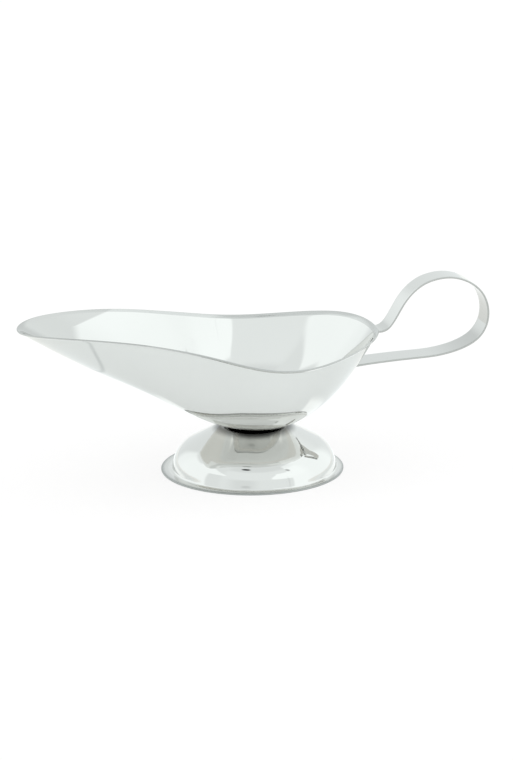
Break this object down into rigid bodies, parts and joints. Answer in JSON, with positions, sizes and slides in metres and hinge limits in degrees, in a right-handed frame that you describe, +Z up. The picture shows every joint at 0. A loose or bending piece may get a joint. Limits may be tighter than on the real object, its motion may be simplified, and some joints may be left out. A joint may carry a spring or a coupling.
{
  "type": "sauce boat",
  "caption": "Footed sauce boat of polished sheet steel: a deep bowl with a long open pouring spout, a round bell-shaped foot and a strip loop handle.",
  "frame": {"origin": "middle of the overall length and width, on the plane that the foot's flange stands on", "axes": "+X along the length from the spout to the handle, +Y across the bowl towards the far side as seen with the spout on the left, +Z up"},
  "size_m": [0.2304, 0.1014, 0.0872],
  "materials": {
    "bowl_steel": "mirror-polished stainless steel",
    "foot_steel": "mirror-polished stainless steel",
    "handle_steel": "mirror-polished stainless steel"
  },
  "bodies": {
    "root": {"bowl": "bowl_steel", "foot": "foot_steel", "handle": "handle_steel"}
  },
  "joints": []
}
